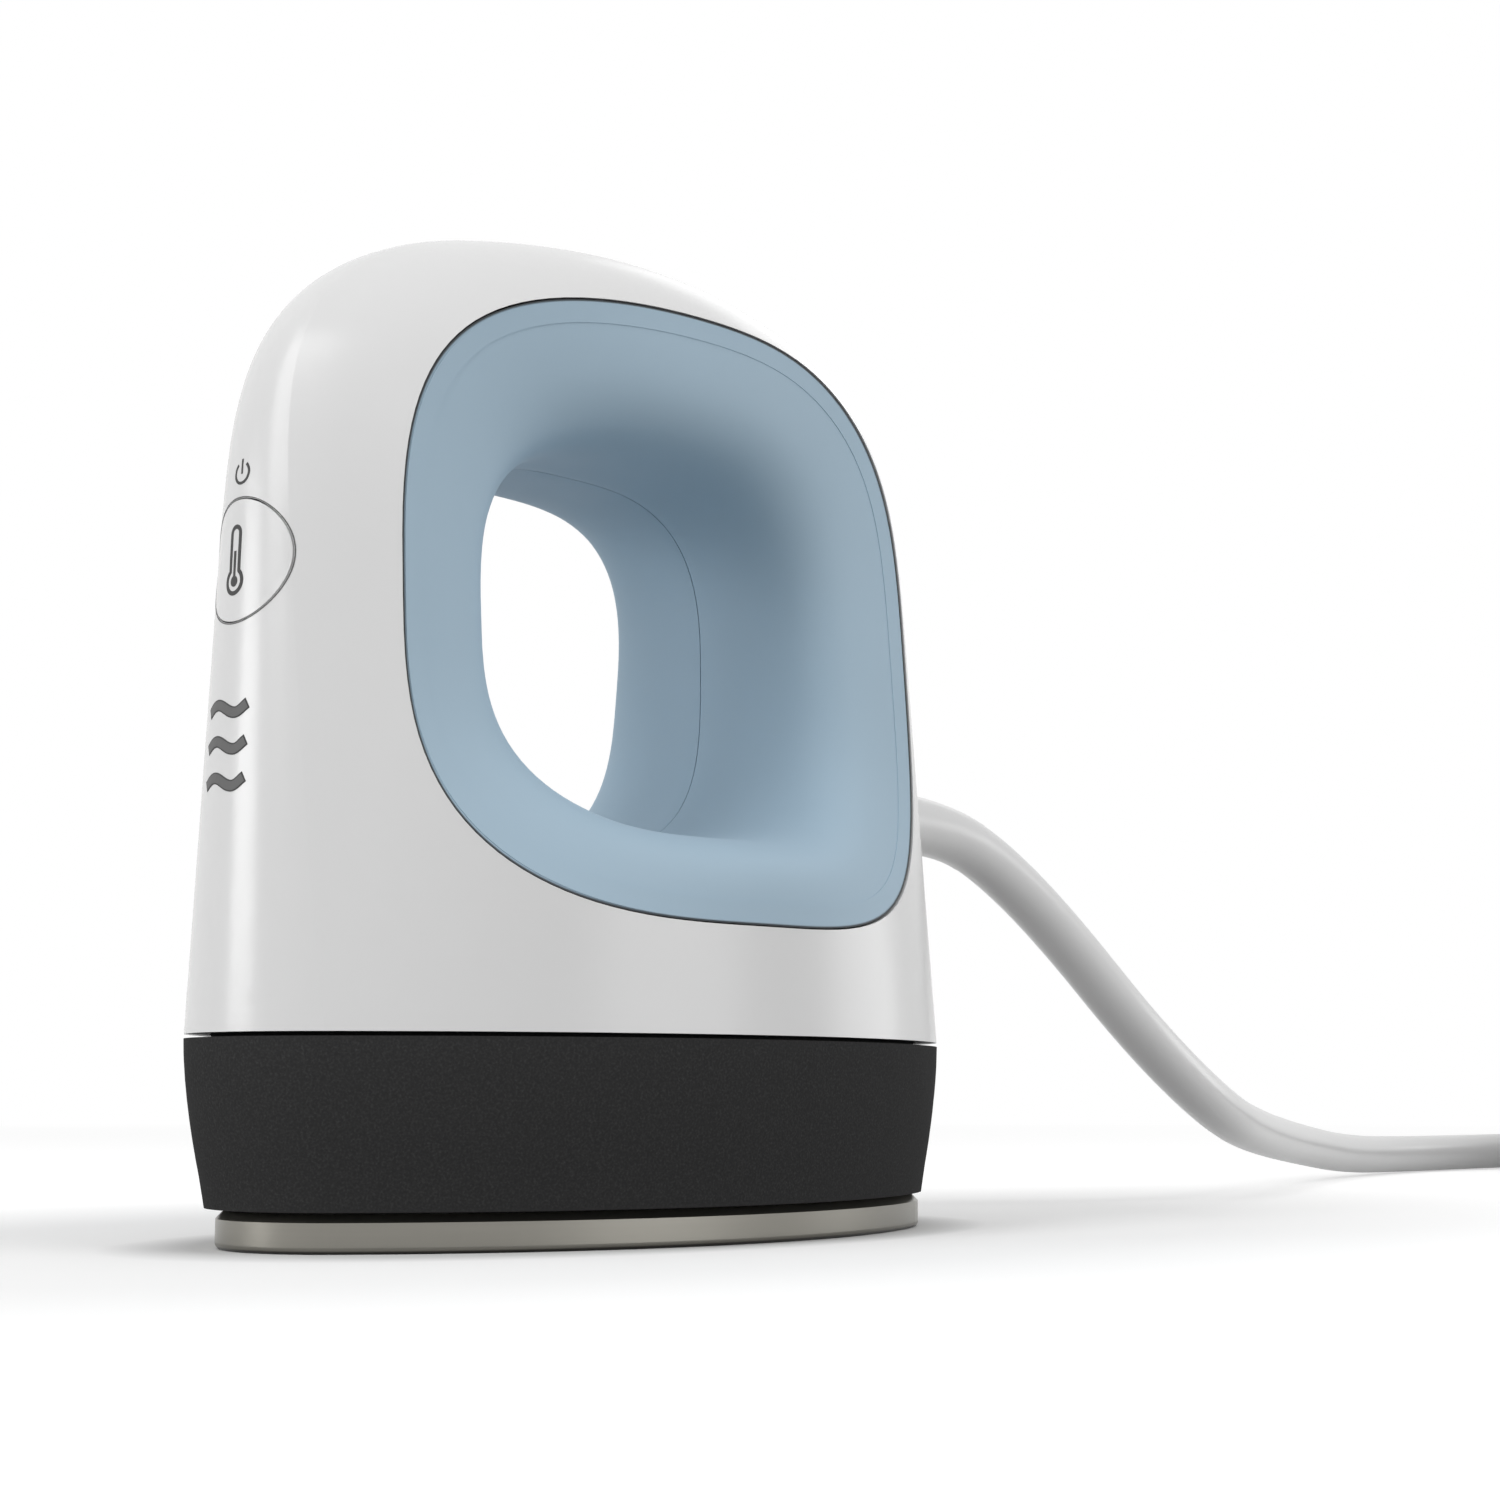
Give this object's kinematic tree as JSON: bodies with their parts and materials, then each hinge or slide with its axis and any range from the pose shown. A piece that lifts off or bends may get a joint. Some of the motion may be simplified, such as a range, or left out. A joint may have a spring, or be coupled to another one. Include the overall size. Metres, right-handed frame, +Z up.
{
  "type": "mini handheld heat press",
  "caption": "Small handheld heat press with an oval heat plate, a flared through hand hole, a front press button and a mains lead with plug.",
  "frame": {"origin": "centre of the heat plate's sole, on the surface that the press rests on", "axes": "+Z up from the sole, -Y towards the front with the button, +Y towards the cord, +X across the press"},
  "size_m": [0.119, 0.3806, 0.0998],
  "materials": {
    "white_plastic": "satin",
    "blue_soft_touch": "soft-touch matte",
    "dark_skirt": "fine sand texture",
    "coated_aluminium": "non-stick ceramic coat",
    "dark_silicone": "matte",
    "sheath_steel": "oxidised",
    "plain_aluminium": "mill",
    "insulation_felt": "fibrous",
    "bare_steel": "plain",
    "sensor_resin": "matte",
    "frame_plastic": "matte",
    "board_laminate": "satin",
    "chip_resin": "matte",
    "terminal_plastic": "matte",
    "led_lens": "diffuse",
    "cord_white": "smooth sheath",
    "wire_sleeve": "glass braid",
    "earth_sleeve": "smooth",
    "tie_plastic": "smooth",
    "plug_brass": "bright"
  },
  "bodies": {
    "press": {"outer_shell": "white_plastic", "grip_insert_right": "blue_soft_touch", "grip_insert_left": "blue_soft_touch", "base_skirt": "dark_skirt", "heat_plate": "coated_aluminium", "plate_gasket": "dark_silicone", "heating_element": "sheath_steel", "element_clamp": "plain_aluminium", "insulation_pad": "insulation_felt", "heat_shield": "bare_steel", "standoff_bushes": "bare_steel", "plate_screws": "bare_steel", "chassis_screws": "bare_steel", "temperature_sensor": "sensor_resin", "thermal_fuse": "bare_steel", "inner_frame": "frame_plastic", "control_board": "board_laminate", "board_screws": "bare_steel", "drive_triac": "chip_resin", "controller_chip": "chip_resin", "supply_capacitor": "chip_resin", "terminal_block": "terminal_plastic", "indicator_leds": "led_lens", "light_guide": "frame_plastic", "button_retainer": "frame_plastic", "switch_body": "chip_resin", "switch_dome": "bare_steel", "strain_relief": "cord_white", "cord_tail": "cord_white", "cord_clamp": "frame_plastic", "clamp_screws": "bare_steel", "mains_leads": "wire_sleeve", "heater_leads": "wire_sleeve", "earth_lead": "earth_sleeve", "power_cord": "cord_white", "cord_coil": "cord_white", "cord_tie": "tie_plastic", "plug_lead": "cord_white", "plug_body": "cord_white", "plug_blades": "plug_brass", "earth_pin": "plug_brass"},
    "button": {"power_button": "white_plastic"},
    "plunger": {"switch_plunger": "terminal_plastic"}
  },
  "joints": [
    {"name": "button_press", "type": "slide", "parent": "press", "child": "button", "axis": [0, 1, 0], "range_m": [0, 0.0006], "stiffness_N_per_m": 1200, "deforming": ["switch_dome"]},
    {"name": "plunger_press", "type": "slide", "parent": "press", "child": "plunger", "axis": [0, 1, 0], "range_m": [0, 0.0006]}
  ],
  "couplings": [
    {"joint": "plunger_press", "follows": "button_press", "ratio": 1}
  ]
}
